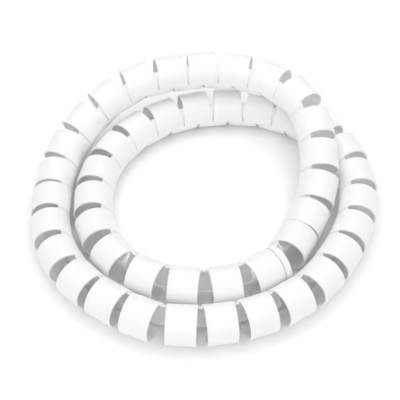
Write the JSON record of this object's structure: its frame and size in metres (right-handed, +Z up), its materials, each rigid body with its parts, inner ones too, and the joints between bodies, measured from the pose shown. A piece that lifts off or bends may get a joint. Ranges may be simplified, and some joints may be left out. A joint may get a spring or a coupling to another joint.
{
  "type": "spiral cable wrap",
  "caption": "White slotted cable wrap, 25 mm across, lying in two loose turns with its ends meeting.",
  "frame": {"origin": "on the floor, below the middle of the outline of the two turns", "axes": "+Z up from the floor the wrap lies on; -Y towards the side where the two ends meet; +Y towards the side where the second turn lies over the first"},
  "size_m": [0.2251, 0.2229, 0.0523],
  "materials": {
    "white_plastic": "satin white moulded plastic"
  },
  "bodies": {
    "root": {"cable_wrap": "white_plastic"}
  },
  "joints": []
}
